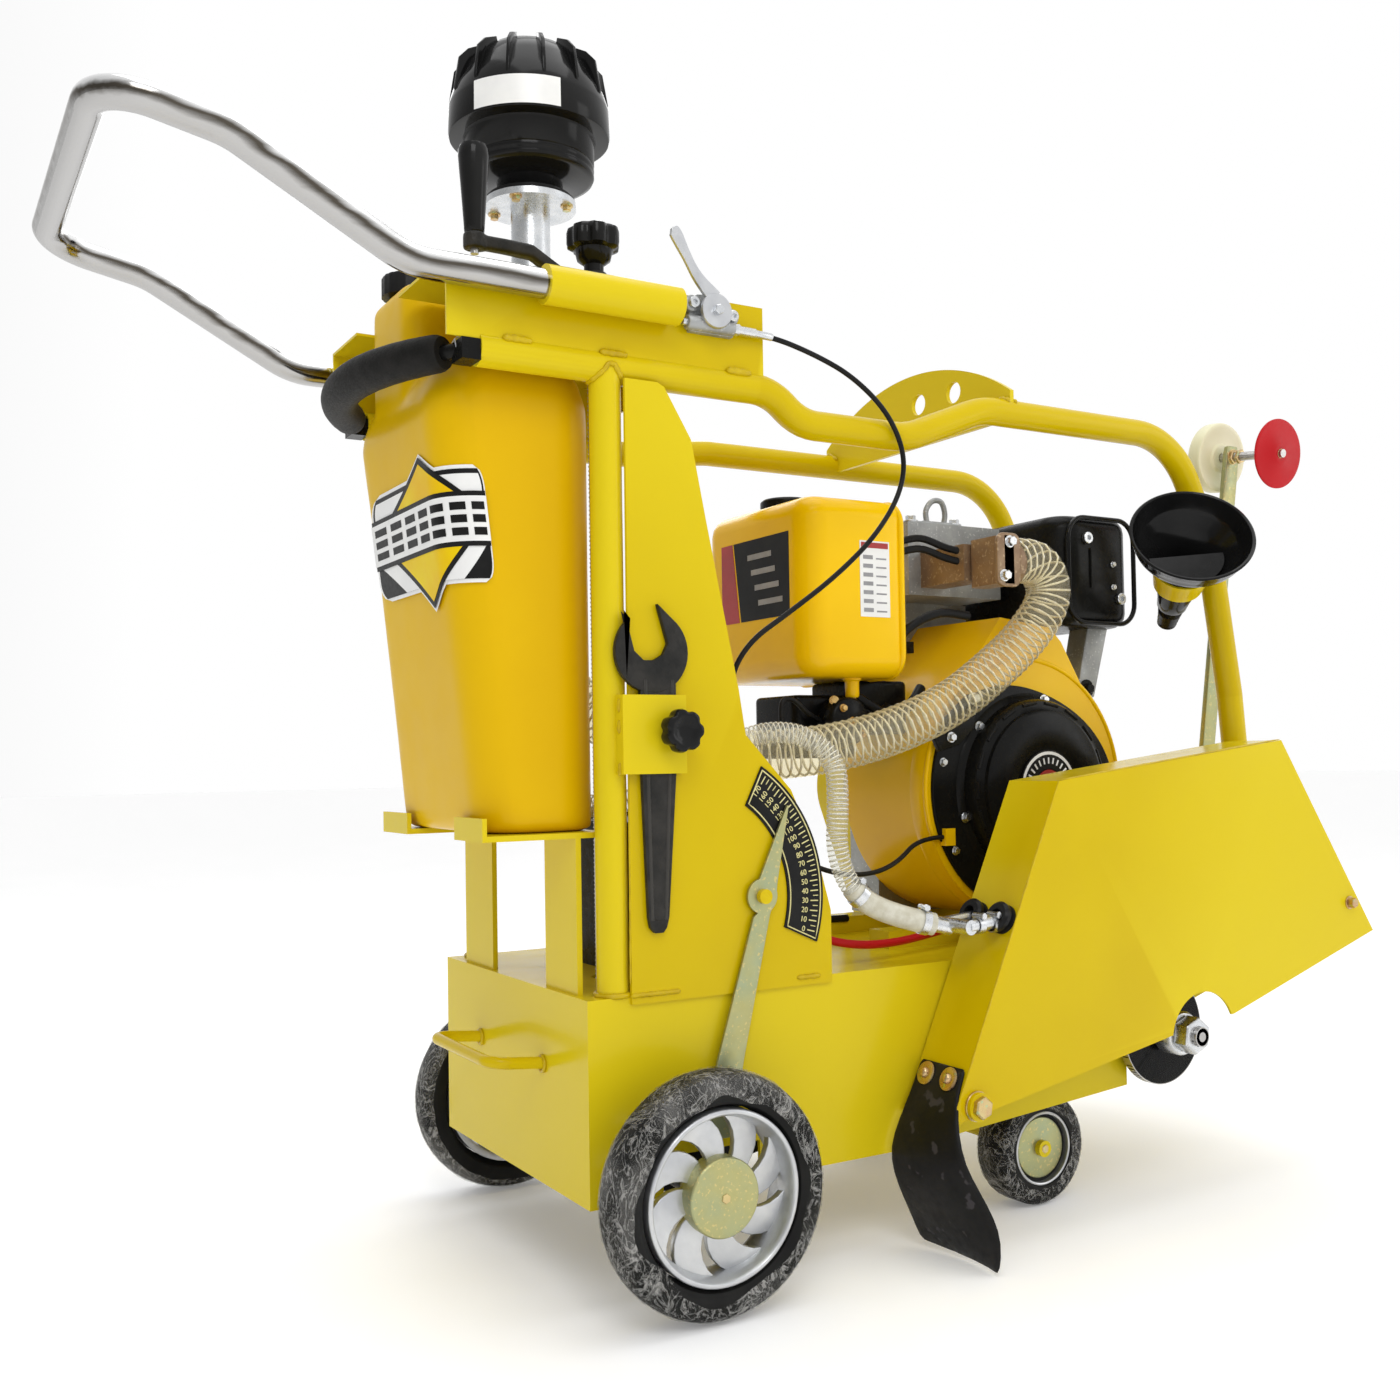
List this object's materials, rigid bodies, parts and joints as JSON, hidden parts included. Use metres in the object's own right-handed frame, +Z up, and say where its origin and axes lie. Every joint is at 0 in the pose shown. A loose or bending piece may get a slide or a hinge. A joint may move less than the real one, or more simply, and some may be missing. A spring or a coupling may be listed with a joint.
{
  "type": "walk-behind concrete saw",
  "caption": "Engine-driven floor saw pushed by a handlebar, with a water tank, a crank-set depth, a lifting blade guard and a folding guide arm.",
  "frame": {"origin": "on the ground at the middle of the whole machine's footprint", "axes": "+X forward, towards the blade, +Y to the operator's left, +Z up"},
  "size_m": [1.633, 0.632, 1.469],
  "materials": {
    "frame_paint": "gloss",
    "engine_paint": "gloss",
    "tank_plastic": "satin",
    "black_metal": "gloss",
    "black_plastic": "gloss",
    "matte_black": "matte",
    "bright_chrome": "polished",
    "zinc": "satin",
    "steel": "satin",
    "cast_alloy": "cast",
    "engine_alloy": "cast",
    "tyre_rubber": "matte",
    "rubber": "matte",
    "foam": "matte",
    "clear_hose": "clear",
    "white_nylon": "satin",
    "black_cast": "painted"
  },
  "bodies": {
    "chassis": {"deck_plate": "frame_paint", "side_plates": "frame_paint", "cross_shafts": "steel", "front_axle_brackets": "frame_paint", "pull_handle": "frame_paint", "rear_posts": "frame_paint", "frame_tube_right": "frame_paint", "frame_tube_left": "frame_paint", "depth_side_plate": "frame_paint", "depth_scale": "matte_black", "lift_plate": "frame_paint", "control_panel": "frame_paint", "handlebar": "bright_chrome", "pad_bar": "black_metal", "bar_pad": "foam", "water_tank": "tank_plastic", "tank_cradle": "frame_paint", "battery": "black_plastic", "engine_block": "engine_alloy", "fan_housing": "engine_paint", "recoil_cover": "black_plastic", "fuel_tank": "engine_paint", "muffler": "black_metal", "intake_elbow": "engine_alloy", "precleaner_pipe": "zinc", "precleaner": "black_plastic", "intake_hose": "clear_hose", "water_hose": "clear_hose", "throttle_cable": "rubber", "throttle_body": "cast_alloy", "wrench_holder": "frame_paint", "shaft_bearings": "black_cast", "drive_belts": "rubber", "belt_guard": "frame_paint"},
    "axle_carriage": {"axle_carriage": "frame_paint"},
    "rear_wheel_right": {"rear_tyre_right": "tyre_rubber", "rear_rim_right": "cast_alloy"},
    "rear_wheel_left": {"rear_tyre_left": "tyre_rubber", "rear_rim_left": "cast_alloy"},
    "front_wheel_right": {"front_wheel_right": "tyre_rubber"},
    "front_wheel_left": {"front_wheel_left": "tyre_rubber"},
    "depth_crank": {"depth_crank": "black_metal"},
    "crank_grip": {"crank_grip": "black_plastic"},
    "lock_knob": {"lock_knob": "black_plastic"},
    "depth_pointer": {"depth_pointer": "zinc"},
    "throttle_lever": {"throttle_lever": "cast_alloy"},
    "wrench_knob": {"wrench_knob": "black_plastic"},
    "wrench": {"wrench": "black_cast"},
    "blade_guard": {"guard_shell": "frame_paint", "guard_handle": "frame_paint", "mud_flap": "rubber", "guard_water_pipes": "steel"},
    "blade_shaft": {"blade_shaft": "steel", "driven_pulley": "black_cast"},
    "drive_pulley": {"drive_pulley": "black_cast"},
    "arbor_nut": {"arbor_nut": "steel"},
    "guide_arm": {"guide_arm": "zinc"},
    "guide_wheels": {"guide_wheels": "white_nylon"},
    "funnel": {"funnel": "black_plastic"},
    "tank_cap": {"tank_cap": "black_plastic"}
  },
  "joints": [
    {"name": "axle_lift", "type": "hinge", "parent": "chassis", "child": "axle_carriage", "pos_m": [-0.0415, 0.024, 0.17], "axis": [0, -1, 0], "range_deg": [0, 30]},
    {"name": "rear_wheel_right_spin", "type": "hinge", "parent": "axle_carriage", "child": "rear_wheel_right", "pos_m": [-0.2355, -0.243, 0.125], "axis": [0, 1, 0], "continuous": true},
    {"name": "rear_wheel_left_spin", "type": "hinge", "parent": "axle_carriage", "child": "rear_wheel_left", "pos_m": [-0.2355, 0.291, 0.125], "axis": [0, 1, 0], "continuous": true},
    {"name": "front_wheel_right_spin", "type": "hinge", "parent": "chassis", "child": "front_wheel_right", "pos_m": [0.2885, -0.141, 0.071], "axis": [0, 1, 0], "continuous": true},
    {"name": "front_wheel_left_spin", "type": "hinge", "parent": "chassis", "child": "front_wheel_left", "pos_m": [0.2885, 0.189, 0.071], "axis": [0, 1, 0], "continuous": true},
    {"name": "depth_crank_turn", "type": "hinge", "parent": "chassis", "child": "depth_crank", "pos_m": [-0.2535, -0.038, 1.1], "axis": [0, 0, 1], "range_deg": [0, 720]},
    {"name": "crank_grip_spin", "type": "hinge", "parent": "depth_crank", "child": "crank_grip", "pos_m": [-0.3985, -0.038, 1.19], "axis": [0, 0, 1], "continuous": true},
    {"name": "lock_knob_turn", "type": "hinge", "parent": "depth_crank", "child": "lock_knob", "pos_m": [-0.2535, -0.038, 1.15], "axis": [0, 0, 1], "range_deg": [0, 360]},
    {"name": "depth_pointer_swing", "type": "hinge", "parent": "chassis", "child": "depth_pointer", "pos_m": [-0.1345, -0.185, 0.412], "axis": [0, 1, 0], "range_deg": [0, 30]},
    {"name": "throttle_lever_swing", "type": "hinge", "parent": "chassis", "child": "throttle_lever", "pos_m": [-0.1835, -0.19, 1.043], "axis": [0, 1, 0], "range_deg": [-10, 70]},
    {"name": "wrench_knob_turn", "type": "hinge", "parent": "chassis", "child": "wrench_knob", "pos_m": [-0.2445, -0.206, 0.591], "axis": [0, 1, 0], "range_deg": [0, 360]},
    {"name": "wrench_lift", "type": "slide", "parent": "chassis", "child": "wrench", "axis": [0, 0, 1], "range_m": [0, 0.12]},
    {"name": "blade_guard_lift", "type": "hinge", "parent": "chassis", "child": "blade_guard", "pos_m": [0.0945, -0.221, 0.17], "axis": [0, -1, 0], "range_deg": [0, 22], "deforming": ["water_hose"]},
    {"name": "blade_shaft_spin", "type": "hinge", "parent": "chassis", "child": "blade_shaft", "pos_m": [0.4705, 0.024, 0.203], "axis": [0, 1, 0], "continuous": true},
    {"name": "drive_pulley_spin", "type": "hinge", "parent": "chassis", "child": "drive_pulley", "pos_m": [0.3725, 0.204, 0.516], "axis": [0, 1, 0], "continuous": true},
    {"name": "arbor_nut_slide", "type": "slide", "parent": "blade_shaft", "child": "arbor_nut", "axis": [0, -1, 0], "range_m": [0, 0.06]},
    {"name": "guide_arm_swing", "type": "hinge", "parent": "chassis", "child": "guide_arm", "pos_m": [0.7265, -0.036, 0.338], "axis": [0, 1, 0], "range_deg": [0, 115]},
    {"name": "guide_wheels_spin", "type": "hinge", "parent": "guide_arm", "child": "guide_wheels", "pos_m": [0.7265, -0.12011, 0.985], "axis": [0, 0.9917, 0.1289], "continuous": true},
    {"name": "funnel_lift", "type": "slide", "parent": "chassis", "child": "funnel", "axis": [-0.479, -0.671, 0.566], "range_m": [0, 0.15]},
    {"name": "tank_cap_turn", "type": "hinge", "parent": "chassis", "child": "tank_cap", "pos_m": [-0.4335, 0.074, 1.106], "axis": [0, 0, 1], "range_deg": [0, 120]}
  ],
  "couplings": [
    {"joint": "depth_crank_turn", "follows": "axle_lift", "ratio": 24},
    {"joint": "depth_pointer_swing", "follows": "axle_lift", "ratio": 1},
    {"joint": "drive_pulley_spin", "follows": "blade_shaft_spin", "ratio": 0.75}
  ]
}
